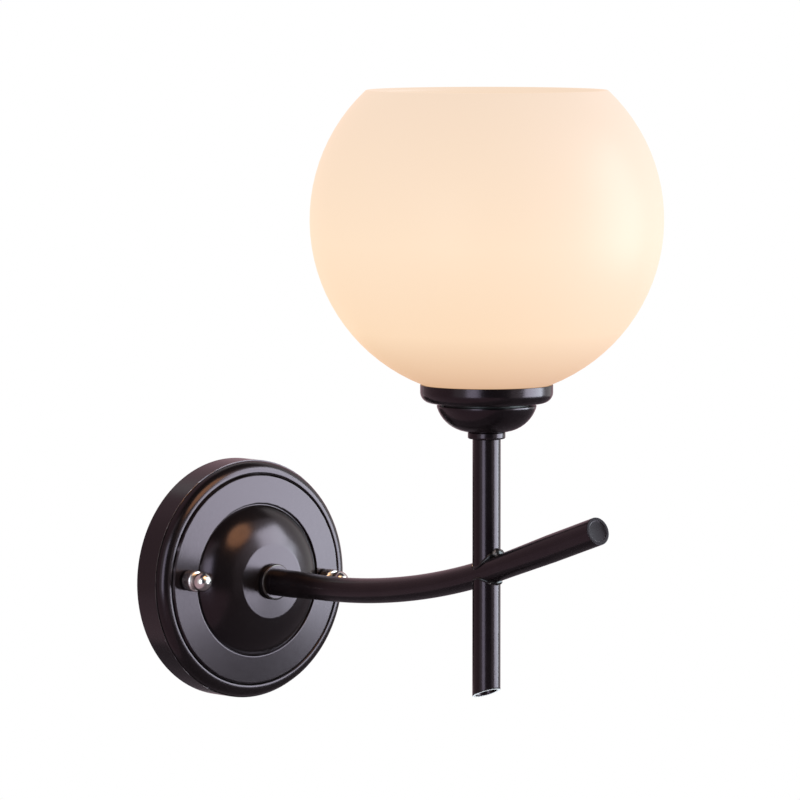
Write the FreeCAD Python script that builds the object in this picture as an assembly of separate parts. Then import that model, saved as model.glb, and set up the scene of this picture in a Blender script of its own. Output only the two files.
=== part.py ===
import FreeCAD, Part
import math
import os

Vector = FreeCAD.Vector

# Globe wall sconce, in millimetres. The wall is the plane y = 0 and the origin is the centre
# of the canopy's rim on it. The lamp reaches out along -Y and +Z is up.

# Layout
reach = 174.0                 # wall to the common axis of stem, cup and globe
stem_top = 72.6               # height of the stem tube's upper end
tail_bottom = -36.0           # height of the tail tube's mitred end, at its axis
tail_mitre = 22.0             # degrees, the tail is longest on the wall side

# Tubes of arm, stem and tail
tube_radius = 6.0
tube_wall = 1.5
end_plate = 1.2               # thickness of the plug that closes the arm's tip
end_plate_recess = 0.3

# Canopy, spun sheet
sheet = 1.0
canopy_radius = 53.0
skirt_depth = 13.0
shoulder_ledge = 0.5
shoulder_radius = 4.6
lip_radius = 1.0
ring_inset = 6.8              # rim to the ring's outer edge
ring_width = 12.0
ring_outer_depth = 18.1
ring_inner_depth = 19.0
rise_radius = 1.7
rise_turn = 100.0             # degrees of the rounding inside the ring
sweep_radius = 22.0
boss_flat_radius = 16.2
boss_corner = 1.6
boss_corner_turn = 55.0       # degrees of the rounding round the boss's flat
canopy_depth = 29.5

# Threaded tube that holds arm and canopy together, and its twin under the cup
nipple_radius = 5.0
nipple_wall = 1.1
nipple_hold = 10.0            # length screwed into a tube's end
collar_radius = 8.0
collar_thickness = 3.0
collar_edge = 0.7
lock_washer_radius = 8.4
lock_washer_thickness = 0.8
locknut_flats = 14.0
locknut_thickness = 2.5
locknut_protrusion = 1.0

# Arm path, in the plane x = 0
arm_round_length = 11.5       # round stretch in front of the collar
arm_straight = 63.0           # wall to the start of the bend
arm_bend_radius = 402.0
arm_bend = 18.0               # degrees
arm_bend_width = 12.9         # the bent tube is a little flattened
arm_bend_height = 10.9
arm_rounding_length = 30.0    # bend back to the round section
arm_round_end = 30.5
stem_weld = 1.8
tail_weld = 1.3

# Cross strap on the wall
strap_end_gap = 7.0           # between the strap's ends and the canopy's wall
strap_width = 24.0
strap_thickness = 2.0
strap_lift = 3.0
strap_flat_half = 28.0
strap_crank = 3.0
screw_slot_spacing = 44.0
screw_slot_length = 10.0
screw_slot_radius = 2.3
ear_width = 11.0
ear_length = 10.0
ear_offset = 14.0

# Studs and their nuts
stud_inset = 14.0             # rim to a stud's axis
stud_turn = 3.5               # degrees, the pair stands a little off level
stud_radius = 2.0
stud_head_radius = 3.6
stud_head_height = 2.4
stud_nut_flats = 7.0
stud_nut_height = 3.0
cap_nut_radius = 4.7
cap_nut_barrel = 6.0
cap_nut_neck_radius = 3.7
cap_nut_neck = 1.0
cap_nut_ball_radius = 4.3
cap_nut_grip = 8.0            # length of stud inside the nut
cap_nut_chamfer = 0.6
cap_nut_ball_start = 30.0     # degrees below the ball's equator that its arc passes through

# Cup: bowl below, dish above, both spun sheet
bowl_height = 11.1
bowl_radius = 21.2
bowl_curve = 10.2
dish_height = 8.9
dish_radius = 28.2
dish_curve = 3.2

# Globe glass
globe_radius = 75.0
glass = 3.0
mouth_radius = 52.0           # widest radius of the rounded upper lip
neck_hole_radius = 21.0

# Lampholder, screw type for a 27 mm cap
holder_hole_gap = 0.4
holder_base_radius = 18.0
holder_base_height = 17.4
holder_base_curve = 8.0
holder_wall = 1.8
holder_boss_radius = 8.6
holder_boss_height = 5.0
skirt_wall = 1.4
skirt_overlap = 4.0
skirt_height = 31.0           # above the insert's flange
skirt_lip = 4.0
skirt_nose = 10.0             # plain stretch above the outside thread
skirt_nose_step = 0.8
skirt_chamfer = 1.0
insert_flange = 3.0
insert_depth = 4.0
shell_radius = 13.9
shell_wall = 0.4
shell_height = 25.0
shell_floor_radius = 10.0
contact_width = 5.0
contact_thickness = 0.5
contact_height = 3.0
contact_length = 12.0
terminal_offset = 9.5
terminal_radius = 2.4
terminal_height = 4.5

# Shade ring
shade_ring_radius = 27.0
shade_ring_flange = 2.4
shade_ring_height = 9.0
shade_ring_wall = 2.6
shade_ring_notches = 12
shade_ring_notch_radius = 1.6

# Bulb
bulb_cap_radius = 13.1
bulb_cap_length = 22.0
bulb_cap_wall = 0.5
bulb_insulator_height = 3.0
bulb_insulator_radius = 5.4
bulb_contact_radius = 4.6
bulb_contact_height = 1.2
bulb_contact_dome = 0.8       # share of the radius at which the dome is half as high
bulb_radius = 30.0
bulb_length = 105.0
bulb_neck_hold = 6.0
bulb_neck_length = 7.0
bulb_glass = 0.9
bulb_ball_start = -38.0       # degrees on the ball at which the flare meets it
bulb_flare = 1.2              # how far the flare bows in from its chord

# Terminal block and wiring
pole_pitch = 10.0
pole_count = 3
block_height = 17.0
block_depth = 11.0
block_end_wall = 4.5
block_corner = 1.5
pole_tube_radius = 2.6
pole_bore_radius = 1.5
pole_tube_length = 15.0
block_screw_radius = 1.4
block_screw_inset = 4.0
block_fixing_radius = 1.3
earth_screw_radius = 2.0
earth_head_radius = 3.6
earth_head_height = 2.4
tag_thickness = 0.8
tag_radius = 3.8
tag_barrel_radius = 1.5
tag_barrel_length = 6.0
lead_radius = 0.9
lead_spacing = 2.2
lead_hold = 4.0               # length of a lead inside a terminal
lead_loop = 11.5              # how far the lamp leads hang below their terminals
lead_slack = 4.0              # room behind the nipple for the lamp leads' turn
lead_bend_share = 0.45        # share of a run that a bend may take
lead_bend_stops = (0.2, 0.45, 0.72)   # places along the arm's bend that a lamp lead follows
earth_loop = 10.0             # how far the earth lead hangs below its tag

# Clearances
thread_play = 0.05
seat_gap = 0.05
moving_gap = 0.3

# Values that follow
ring_outer_radius = canopy_radius - ring_inset
ring_inner_radius = ring_outer_radius - ring_width
stud_circle_radius = canopy_radius - stud_inset
strap_length = 2 * (canopy_radius - sheet - strap_end_gap)
tube_bore = tube_radius - tube_wall
nipple_bore = nipple_radius - nipple_wall
collar_front = canopy_depth + collar_thickness
washer_back = canopy_depth - sheet
nut_back = washer_back - lock_washer_thickness - locknut_thickness
nipple_back = nut_back - locknut_protrusion
arm_bend_angle = math.radians(arm_bend)
crossing_angle = math.asin((reach - arm_straight) / arm_bend_radius)
crossing_height = arm_bend_radius * (1 - math.cos(crossing_angle))
bowl_bottom = stem_top + collar_thickness
bowl_top = bowl_bottom + bowl_height
dish_rim = bowl_top + dish_height
dish_bore = dish_radius - sheet
globe_height = dish_rim + seat_gap + math.sqrt(globe_radius ** 2 - dish_bore ** 2)
cup_floor = bowl_bottom + sheet
insert_seat = cup_floor + holder_base_height
insert_top = insert_seat + insert_flange
skirt_radius = holder_base_radius + thread_play + skirt_wall
skirt_top = insert_top + skirt_height
skirt_bore = shell_radius + thread_play
bulb_bottom = insert_top + contact_height + contact_thickness + moving_gap
bulb_cap_bottom = bulb_bottom + bulb_contact_height + bulb_insulator_height
bulb_cap_top = bulb_cap_bottom + bulb_cap_length
globe_bore = globe_radius - glass
shade_ring_bottom = globe_height - math.sqrt(globe_bore ** 2 - shade_ring_radius ** 2) + moving_gap
shade_ring_bore = skirt_radius + moving_gap
strap_end_front = strap_lift + strap_thickness
ring_slope = (ring_inner_depth - ring_outer_depth) / (ring_outer_radius - ring_inner_radius)
cap_nut_seat = ring_inner_depth - ring_slope * (stud_circle_radius - cap_nut_radius - ring_inner_radius)
stud_tip = cap_nut_seat + moving_gap + cap_nut_grip
block_front = strap_thickness + block_depth
pole_depth = strap_thickness + block_depth / 2
block_width = (pole_count - 1) * pole_pitch + 2 * (pole_tube_radius + block_end_wall / 2)
ear_bottom = -strap_width / 2 - ear_length
ear_hole = ear_bottom + ear_width / 2

quarter = 90.0
WALL_AXIS = Vector(0, -1, 0)
UP = Vector(0, 0, 1)
RIGHT = Vector(1, 0, 0)


# Helpers

def on_canopy(radius, depth):
    """Point of a canopy section: distance from the axis and distance from the wall."""
    return Vector(radius, -depth, 0)


def on_stem(radius, height):
    """Point of a cup or globe section: distance from the stem axis and height."""
    return Vector(radius, -reach, height)


def circle_point(centre, radius, degrees):
    """Point of a circle in a section, as a pair."""
    angle = math.radians(degrees)
    return (centre[0] + radius * math.cos(angle), centre[1] + radius * math.sin(angle))


def section(place, start, steps):
    """Closed face from a start and steps; a step is (end,) for a line or (through, end) for an arc."""
    edges = []
    here = start
    for step in steps:
        end = step[-1]
        if len(step) == 2:
            edges.append(Part.Arc(place(*here), place(*step[0]), place(*end)).toShape())
        else:
            edges.append(Part.makeLine(place(*here), place(*end)))
        here = end
    if place(*here).distanceToPoint(place(*start)) > seat_gap:
        edges.append(Part.makeLine(place(*here), place(*start)))
    return Part.Face(Part.Wire(edges))


def turned_on_canopy(face):
    """Solid of revolution about the canopy's axis."""
    return face.revolve(Vector(0, 0, 0), WALL_AXIS, 360)


def turned_on_stem(face):
    """Solid of revolution about the stem's axis."""
    return face.revolve(Vector(0, -reach, 0), UP, 360)


def rod(radius, start, end):
    """Round bar between two points."""
    return Part.makeCylinder(radius, (end - start).Length, start, end - start)


def pipe(outer, inner, start, end):
    """Round tube between two points."""
    return rod(outer, start, end).cut(rod(inner, start, end))


def hexagon(flats, start, end):
    """Hexagonal bar between two points along Y."""
    corner = flats / 2 / math.cos(math.radians(30))
    points = []
    for side in range(7):
        angle = math.radians(60 * side)
        points.append(start + Vector(corner * math.cos(angle), 0, corner * math.sin(angle)))
    return Part.Face(Part.makePolygon(points)).extrude(end - start)


def stadium(length, radius, centre_x, start_depth, end_depth):
    """Slot-shaped prism along the wall's normal, long side along X."""
    half = length / 2 - radius
    block = Part.makeBox(2 * half, end_depth - start_depth, 2 * radius,
                         Vector(centre_x - half, -end_depth, -radius))
    for side in (-1, 1):
        foot = Vector(centre_x + side * half, -start_depth, 0)
        block = block.fuse(rod(radius, foot, foot + WALL_AXIS * (end_depth - start_depth)))
    return block.removeSplitter()


def stud_place(side, depth):
    """Point on a stud's axis; the pair stands turned about the canopy's axis."""
    angle = math.radians(stud_turn)
    return Vector(side * stud_circle_radius * math.cos(angle), -depth,
                  -side * stud_circle_radius * math.sin(angle))


def save(name, shape):
    """Write one piece."""
    shape.exportStep("parts/" + name + ".step")


# Canopy

def canopy_outline():
    """Outer section of the canopy, carried past its axis so that its offset stays clean there."""
    over_axis = -4 * sheet
    shoulder_top = skirt_depth + shoulder_radius
    shoulder_centre = (canopy_radius - shoulder_ledge - shoulder_radius, skirt_depth)
    shoulder_mid = circle_point(shoulder_centre, shoulder_radius, quarter / 2)
    lip_centre = (shoulder_centre[0], shoulder_top - lip_radius)
    lip_mid = circle_point(lip_centre, lip_radius, quarter * 3 / 2)
    rise_centre = (ring_inner_radius - rise_radius, ring_inner_depth)
    rise_start = circle_point(rise_centre, rise_radius, rise_turn)
    rise_mid = circle_point(rise_centre, rise_radius, rise_turn / 2)
    corner_centre = (boss_flat_radius - boss_corner, canopy_depth - boss_corner)
    corner_mid = circle_point(corner_centre, boss_corner, quarter - boss_corner_turn / 2)
    corner_end = circle_point(corner_centre, boss_corner, quarter - boss_corner_turn)
    chord_x = rise_start[0] - corner_end[0]
    chord_y = rise_start[1] - corner_end[1]
    chord = math.hypot(chord_x, chord_y)
    sag = sweep_radius - math.sqrt(sweep_radius ** 2 - (chord / 2) ** 2)
    sweep_mid = ((rise_start[0] + corner_end[0]) / 2 + sag * chord_y / chord,
                 (rise_start[1] + corner_end[1]) / 2 - sag * chord_x / chord)
    return section(on_canopy, (over_axis, 0), [
        ((canopy_radius, 0),),
        ((canopy_radius, skirt_depth),),
        ((canopy_radius - shoulder_ledge, skirt_depth),),
        (shoulder_mid, (shoulder_centre[0], shoulder_top)),
        (lip_mid, (lip_centre[0] - lip_radius, lip_centre[1])),
        ((ring_outer_radius, ring_outer_depth),),
        ((ring_inner_radius, ring_inner_depth),),
        (rise_mid, rise_start),
        (sweep_mid, corner_end),
        (corner_mid, (corner_centre[0], canopy_depth)),
        ((over_axis, canopy_depth),),
    ])


def canopy():
    """Spun bell with a skirt, a rounded shoulder, a flat ring and a swept boss."""
    outer = canopy_outline()
    half = Part.Face(Part.makePolygon([on_canopy(*corner) for corner in (
        (0, 0), (2 * canopy_radius, 0), (2 * canopy_radius, 2 * canopy_depth),
        (0, 2 * canopy_depth), (0, 0))]))
    inside = outer.makeOffset2D(-sheet)
    open_back = Part.Face(Part.makePolygon([on_canopy(*corner) for corner in (
        (0, 0), (canopy_radius - sheet, 0), (canopy_radius - sheet, 2 * sheet),
        (0, 2 * sheet), (0, 0))]))
    shell = turned_on_canopy(outer.common(half))
    shell = shell.cut(turned_on_canopy(inside.common(half)))
    shell = shell.cut(turned_on_canopy(open_back))
    shell = shell.cut(rod(nipple_radius + thread_play, Vector(0, 0, 0), WALL_AXIS * 2 * canopy_depth))
    for side in (-1, 1):
        hole = rod(stud_radius + moving_gap, stud_place(side, 0), stud_place(side, 2 * canopy_depth))
        shell = shell.cut(hole)
    return shell


def collar(start, direction):
    """Turned ring with eased edges that stands between a spun sheet and a tube's end."""
    ring = Part.makeCylinder(collar_radius, collar_thickness, start, direction)
    ring = ring.makeFillet(collar_edge, [edge for edge in ring.Edges if len(edge.Vertexes) == 1])
    bore = Part.makeCylinder(nipple_radius + thread_play, collar_thickness, start, direction)
    return ring.cut(bore)


def canopy_nipple():
    """Threaded tube through canopy and collar into the arm."""
    return pipe(nipple_radius, nipple_bore, WALL_AXIS * nipple_back,
                WALL_AXIS * (collar_front + nipple_hold))


def lock_washer():
    """Washer under the locknut inside the canopy."""
    return pipe(lock_washer_radius, nipple_radius + thread_play,
                WALL_AXIS * (washer_back - lock_washer_thickness), WALL_AXIS * washer_back)


def locknut():
    """Thin hexagonal nut that pulls the arm against the canopy."""
    start = WALL_AXIS * nut_back
    end = WALL_AXIS * (nut_back + locknut_thickness)
    return hexagon(locknut_flats, start, end).cut(rod(nipple_radius + thread_play, start, end))


# Arm, stem and tail

def arm_point(angle):
    """Point of the arm's centre line in the bend, and the unit vector along it."""
    centre = Vector(0, -arm_straight, arm_bend_radius)
    along = Vector(0, -math.cos(angle), math.sin(angle))
    return centre + Vector(0, -math.sin(angle), -math.cos(angle)) * arm_bend_radius, along


def arm_ring(point, along, width, height):
    """Round or flattened section across the arm."""
    if abs(width - height) < seat_gap:
        ring = Part.Circle(point, along, width / 2)
        ring.XAxis = RIGHT
    else:
        across = along.cross(RIGHT)
        ring = Part.Ellipse(point + RIGHT * (width / 2), point + across * (height / 2), point)
    return Part.Wire(ring.toShape())


def arm_body(inset):
    """Whole arm as one solid bar, drawn in by an inset all round."""
    round_size = 2 * (tube_radius - inset)
    width = arm_bend_width - 2 * inset
    height = arm_bend_height - 2 * inset
    straight = Vector(0, -1, 0)
    bend_start, along_start = arm_point(0)
    bend_end, along_end = arm_point(arm_bend_angle)
    round_start = straight * collar_front
    round_stop = straight * (collar_front + arm_round_length)
    tip_start = bend_end + along_end * arm_rounding_length
    tip = tip_start + along_end * arm_round_end
    pieces = [
        Part.makeLoft([arm_ring(round_stop, straight, round_size, round_size),
                       arm_ring(bend_start, along_start, width, height)], True),
        Part.Face(arm_ring(bend_start, along_start, width, height)).revolve(
            Vector(0, -arm_straight, arm_bend_radius), Vector(-1, 0, 0), arm_bend),
        Part.makeLoft([arm_ring(bend_end, along_end, width, height),
                       arm_ring(tip_start, along_end, round_size, round_size)], True),
        rod(round_size / 2, tip_start, tip),
    ]
    bar = rod(round_size / 2, round_start, round_stop)
    for piece in pieces:
        bar = bar.fuse(piece)
    return bar.removeSplitter()


def crossing():
    """Point where the stem's axis meets the arm's centre line."""
    return Vector(0, -reach, crossing_height)


def arm_tube(bar, core):
    """Bent tube with its threaded wall end and the lead hole under the stem."""
    tube = bar.cut(core)
    tube = tube.cut(rod(nipple_radius + thread_play, WALL_AXIS * collar_front,
                        WALL_AXIS * (collar_front + nipple_hold + thread_play)))
    return tube.cut(rod(tube_bore, crossing(), crossing() + UP * arm_bend_height))


def arm_end_plate():
    """Round plate let into the arm's free end."""
    end, along = arm_point(arm_bend_angle)
    face = end + along * (arm_rounding_length + arm_round_end - end_plate_recess)
    return rod(tube_bore, face - along * end_plate, face)


def stem_bar():
    """Stem as a solid bar from the arm's centre line up."""
    return rod(tube_radius, crossing(), Vector(0, -reach, stem_top))


def tail_cut():
    """Everything below the tail's mitre."""
    size = 6 * tube_radius
    block = Part.makeBox(2 * size, 2 * size, size, Vector(-size, -size, -size))
    block.rotate(Vector(0, 0, 0), RIGHT, -tail_mitre)
    block.translate(Vector(0, -reach, tail_bottom))
    return block


def tail_bar():
    """Tail as a solid bar from the arm's centre line down to its mitred end."""
    low = Vector(0, -reach, tail_bottom - 2 * tube_radius)
    return rod(tube_radius, low, crossing()).cut(tail_cut())


def stem_tube(arm_bar):
    """Stem, coped to sit on the arm and bored for the upper nipple."""
    tube = stem_bar().cut(rod(tube_bore, crossing(), Vector(0, -reach, stem_top)))
    thread_start = Vector(0, -reach, stem_top - nipple_hold - thread_play)
    tube = tube.cut(rod(nipple_radius + thread_play, thread_start, Vector(0, -reach, stem_top)))
    return tube.cut(arm_bar)


def tail_tube(arm_bar):
    """Tail, coped to hang under the arm."""
    low = Vector(0, -reach, tail_bottom - 2 * tube_radius)
    return tail_bar().cut(rod(tube_bore, low, crossing())).cut(arm_bar)


def weld_bead(arm_bar, bar, away, size):
    """Bead of weld metal round the seam between the arm and a tube that stands away from it."""
    seam_rise = arm_bend_height / 2 * math.sqrt(1 - (2 * tube_radius / arm_bend_width) ** 2)
    start = crossing() + away * (seam_rise - size)
    around = rod(tube_radius + size, start, start + away * 2 * arm_bend_height)
    return around.common(arm_body(-size)).cut(arm_bar).cut(bar)


# Cross strap and its fasteners

def strap():
    """Cranked strap that is screwed to the wall and carries the two studs."""
    end = strap_length / 2
    foot = strap_flat_half
    knee = strap_flat_half + strap_crank
    crank_angle = math.atan2(strap_lift, strap_crank)
    shift = strap_thickness * math.tan(crank_angle / 2)
    back = [(end, strap_lift), (knee, strap_lift), (foot, 0)]
    front = [(foot + shift, strap_thickness), (knee + shift, strap_end_front), (end, strap_end_front)]
    corners = [(-x, depth) for x, depth in back] + [(x, depth) for x, depth in reversed(back)]
    corners += list(reversed(front)) + [(-x, depth) for x, depth in front]
    bottom = -strap_width / 2
    points = [Vector(x, -depth, bottom) for x, depth in corners]
    points.append(points[0])
    plate = Part.Face(Part.makePolygon(points)).extrude(UP * strap_width)
    plate = plate.common(stadium(strap_length, strap_width / 2, 0, 0, strap_end_front))
    ear = Part.makeBox(ear_width, strap_thickness, ear_length + ear_width / 2,
                       Vector(ear_offset - ear_width / 2, -strap_thickness, ear_hole))
    ear = ear.fuse(rod(ear_width / 2, Vector(ear_offset, 0, ear_hole),
                       Vector(ear_offset, -strap_thickness, ear_hole)))
    plate = plate.fuse(ear).removeSplitter()
    for side in (-1, 1):
        slot_place = side * screw_slot_spacing / 2
        plate = plate.cut(stadium(screw_slot_length, screw_slot_radius, slot_place, 0, strap_thickness))
        plate = plate.cut(rod(stud_radius + thread_play, stud_place(side, 0),
                              stud_place(side, strap_end_front)))
    tapped = rod(earth_screw_radius + thread_play, Vector(ear_offset, 0, ear_hole),
                 Vector(ear_offset, -strap_thickness, ear_hole))
    fixing = rod(block_fixing_radius + thread_play, Vector(-pole_pitch / 2, 0, 0),
                 Vector(-pole_pitch / 2, -strap_thickness, 0))
    return plate.cut(tapped).cut(fixing)


def stud(side):
    """Screw set in the strap from behind, with its free end in front of the canopy."""
    shank = rod(stud_radius, stud_place(side, strap_lift), stud_place(side, stud_tip))
    head = rod(stud_head_radius, stud_place(side, strap_lift - stud_head_height),
               stud_place(side, strap_lift))
    rim = [edge for edge in head.Edges
           if len(edge.Vertexes) == 1 and edge.CenterOfMass.y > -strap_lift + stud_head_height / 2]
    head = head.makeFillet(stud_head_height / 2, rim)
    return shank.fuse(head).removeSplitter()


def stud_nut(side):
    """Hexagonal nut that locks a stud on the strap."""
    start = stud_place(side, strap_end_front)
    end = stud_place(side, strap_end_front + stud_nut_height)
    return hexagon(stud_nut_flats, start, end).cut(rod(stud_radius + thread_play, start, end))


def cap_nut(side):
    """Round nut with a barrel for the fingers and a ball end, bored blind."""
    seat = cap_nut_seat + moving_gap
    shoulder = seat + cap_nut_barrel
    neck = shoulder + cap_nut_neck
    reach_in = math.sqrt(cap_nut_ball_radius ** 2 - cap_nut_neck_radius ** 2)
    ball = neck + reach_in
    outline = section(on_canopy, (0, seat), [
        ((cap_nut_radius - cap_nut_chamfer, seat),),
        ((cap_nut_radius, seat + cap_nut_chamfer),),
        ((cap_nut_radius, shoulder - cap_nut_chamfer),),
        ((cap_nut_radius - cap_nut_chamfer, shoulder),),
        ((cap_nut_neck_radius, shoulder),),
        ((cap_nut_neck_radius, neck),),
        (circle_point((0, ball), cap_nut_ball_radius, cap_nut_ball_start), (0, ball + cap_nut_ball_radius)),
    ])
    bore = rod(stud_radius + thread_play, WALL_AXIS * seat,
               WALL_AXIS * (seat + cap_nut_grip + moving_gap))
    nut = turned_on_canopy(outline).cut(bore)
    nut.translate(stud_place(side, 0))
    return nut


# Cup and lampholder

def cup_nipple():
    """Threaded tube from the stem through collar and bowl into the lampholder."""
    return pipe(nipple_radius, nipple_bore, Vector(0, -reach, stem_top - nipple_hold),
                Vector(0, -reach, cup_floor + holder_boss_height))


def bowl():
    """Spun bowl, open at the top, under the dish."""
    foot = bowl_radius - bowl_curve
    centre = (foot, bowl_bottom + bowl_curve)
    bore = nipple_radius + thread_play
    outline = section(on_stem, (bore, bowl_bottom), [
        ((foot, bowl_bottom),),
        (circle_point(centre, bowl_curve, -quarter / 2), (bowl_radius, centre[1])),
        ((bowl_radius, bowl_top),),
        ((bowl_radius - sheet, bowl_top),),
        ((bowl_radius - sheet, centre[1]),),
        (circle_point(centre, bowl_curve - sheet, -quarter / 2), (foot, cup_floor)),
        ((bore, cup_floor),),
    ])
    return turned_on_stem(outline)


def dish():
    """Spun dish that the globe rests in; the lampholder stands through its floor."""
    centre = (dish_radius - dish_curve, bowl_top + dish_curve)
    hole = holder_base_radius + holder_hole_gap
    outline = section(on_stem, (hole, bowl_top), [
        ((centre[0], bowl_top),),
        (circle_point(centre, dish_curve, -quarter / 2), (dish_radius, centre[1])),
        ((dish_radius, dish_rim),),
        ((dish_bore, dish_rim),),
        ((dish_bore, centre[1]),),
        (circle_point(centre, dish_curve - sheet, -quarter / 2), (centre[0], bowl_top + sheet)),
        ((hole, bowl_top + sheet),),
    ])
    return turned_on_stem(outline)


def holder_base():
    """Lower half of the lampholder with its threaded boss."""
    bore = nipple_radius + thread_play
    outer_centre = (holder_base_radius - holder_base_curve, cup_floor + holder_base_curve)
    inner_radius = holder_base_radius - holder_wall
    outline = section(on_stem, (bore, cup_floor), [
        ((outer_centre[0], cup_floor),),
        (circle_point(outer_centre, holder_base_curve, -quarter / 2),
         (holder_base_radius, outer_centre[1])),
        ((holder_base_radius, insert_seat),),
        ((inner_radius, insert_seat),),
        ((inner_radius, outer_centre[1]),),
        (circle_point(outer_centre, holder_base_curve - holder_wall, -quarter / 2),
         (outer_centre[0], cup_floor + holder_wall)),
        ((holder_boss_radius, cup_floor + holder_wall),),
        ((holder_boss_radius, cup_floor + holder_boss_height),),
        ((bore, cup_floor + holder_boss_height),),
    ])
    return turned_on_stem(outline)


def holder_skirt():
    """Upper half of the lampholder: double-walled, threaded outside for the shade ring."""
    socket = holder_base_radius + thread_play
    nose_start = skirt_top - skirt_nose
    outline = section(on_stem, (socket, insert_seat - skirt_overlap), [
        ((skirt_radius, insert_seat - skirt_overlap),),
        ((skirt_radius, nose_start),),
        ((skirt_radius - skirt_nose_step, nose_start),),
        ((skirt_radius - skirt_nose_step, skirt_top - skirt_chamfer),),
        ((skirt_radius - skirt_nose_step - skirt_chamfer, skirt_top),),
        ((skirt_bore, skirt_top),),
        ((skirt_bore, insert_top),),
        ((skirt_bore + skirt_wall, insert_top),),
        ((skirt_bore + skirt_wall, skirt_top - skirt_lip),),
        ((skirt_radius - skirt_wall - skirt_nose_step, skirt_top - skirt_lip),),
        ((skirt_radius - skirt_wall - skirt_nose_step, insert_top),),
        ((socket, insert_top),),
    ])
    return turned_on_stem(outline)


def holder_insert():
    """Porcelain disc that carries the contacts, with a boss that drops into the base."""
    boss_radius = holder_base_radius - holder_wall - thread_play
    outline = section(on_stem, (0, insert_seat - insert_depth), [
        ((boss_radius, insert_seat - insert_depth),),
        ((boss_radius, insert_seat),),
        ((holder_base_radius, insert_seat),),
        ((holder_base_radius, insert_top),),
        ((0, insert_top),),
    ])
    return turned_on_stem(outline)


def screw_shell():
    """Thin metal shell that the bulb's cap screws into."""
    inner = shell_radius - shell_wall
    outline = section(on_stem, (shell_floor_radius, insert_top), [
        ((shell_radius, insert_top),),
        ((shell_radius, insert_top + shell_height),),
        ((inner, insert_top + shell_height),),
        ((inner, insert_top + shell_wall),),
        ((shell_floor_radius, insert_top + shell_wall),),
    ])
    return turned_on_stem(outline)


def centre_contact():
    """Sprung tongue under the bulb's centre contact."""
    rise_start = -contact_length / 2
    rise_end = rise_start + contact_height
    points = [(rise_start, 0), (rise_end, 0), (contact_length / 4, contact_height),
              (contact_length / 2, contact_height)]
    upper = [(x, z + contact_thickness) for x, z in reversed(points)]
    corners = [Vector(x, -reach - contact_width / 2, insert_top + z) for x, z in points + upper]
    corners.append(corners[0])
    return Part.Face(Part.makePolygon(corners)).extrude(Vector(0, contact_width, 0))


def holder_terminal(side):
    """Terminal screw on the underside of the insert."""
    top = Vector(side * terminal_offset, -reach, insert_seat - insert_depth)
    return rod(terminal_radius, top - UP * terminal_height, top)


def shade_ring():
    """Notched ring that clamps the globe on the dish from inside."""
    chamfer = shade_ring_flange / 3
    collar_outer = shade_ring_bore + shade_ring_wall
    top = shade_ring_bottom + shade_ring_height
    outline = section(on_stem, (shade_ring_bore, shade_ring_bottom), [
        ((shade_ring_radius - chamfer, shade_ring_bottom),),
        ((shade_ring_radius, shade_ring_bottom + chamfer),),
        ((shade_ring_radius, shade_ring_bottom + shade_ring_flange),),
        ((collar_outer, shade_ring_bottom + shade_ring_flange),),
        ((collar_outer, top - chamfer),),
        ((collar_outer - chamfer, top),),
        ((shade_ring_bore, top),),
    ])
    ring = turned_on_stem(outline)
    for index in range(shade_ring_notches):
        angle = 2 * math.pi * index / shade_ring_notches
        foot = Vector(shade_ring_radius * math.cos(angle), -reach + shade_ring_radius * math.sin(angle),
                      shade_ring_bottom)
        ring = ring.cut(rod(shade_ring_notch_radius, foot, foot + UP * shade_ring_flange))
    return ring


# Globe and bulb

def globe():
    """Glass ball, open above, with a rounded lip at the mouth and at the neck hole."""
    middle = globe_radius - glass / 2
    centre = (0, globe_height)
    low = -math.degrees(math.acos((neck_hole_radius + glass / 2) / middle))
    high = math.degrees(math.acos((mouth_radius - glass / 2) / middle))
    low_centre = circle_point(centre, middle, low)
    high_centre = circle_point(centre, middle, high)
    between = (low + high) / 2
    outline = section(on_stem, circle_point(centre, globe_radius, low), [
        (circle_point(centre, globe_radius, between), circle_point(centre, globe_radius, high)),
        (circle_point(high_centre, glass / 2, high + quarter), circle_point(centre, globe_bore, high)),
        (circle_point(centre, globe_bore, between), circle_point(centre, globe_bore, low)),
        (circle_point(low_centre, glass / 2, low - quarter), circle_point(centre, globe_radius, low)),
    ])
    return turned_on_stem(outline)


def bulb_cap():
    """Metal screw cap of the bulb."""
    inner = bulb_cap_radius - bulb_cap_wall
    taper = bulb_cap_radius - 2 * bulb_cap_wall
    outline = section(on_stem, (taper - bulb_cap_wall, bulb_cap_bottom), [
        ((taper, bulb_cap_bottom),),
        ((bulb_cap_radius, bulb_cap_bottom + 2 * bulb_cap_wall),),
        ((bulb_cap_radius, bulb_cap_top),),
        ((inner, bulb_cap_top),),
        ((inner, bulb_cap_bottom + 2 * bulb_cap_wall),),
    ])
    return turned_on_stem(outline)


def bulb_insulator():
    """Glass insulator between the cap and the centre contact."""
    wide = bulb_cap_radius - 2 * bulb_cap_wall
    low = bulb_cap_bottom - bulb_insulator_height
    outline = section(on_stem, (0, low), [
        ((bulb_insulator_radius, low),),
        ((wide, bulb_cap_bottom),),
        ((0, bulb_cap_bottom),),
    ])
    return turned_on_stem(outline)


def bulb_contact():
    """Domed centre contact of the bulb."""
    top = bulb_bottom + bulb_contact_height
    dome_mid = (bulb_contact_radius * bulb_contact_dome, bulb_bottom + bulb_contact_height / 2)
    outline = section(on_stem, (0, bulb_bottom), [
        (dome_mid, (bulb_contact_radius, top)),
        ((0, top),),
    ])
    return turned_on_stem(outline)


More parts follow.
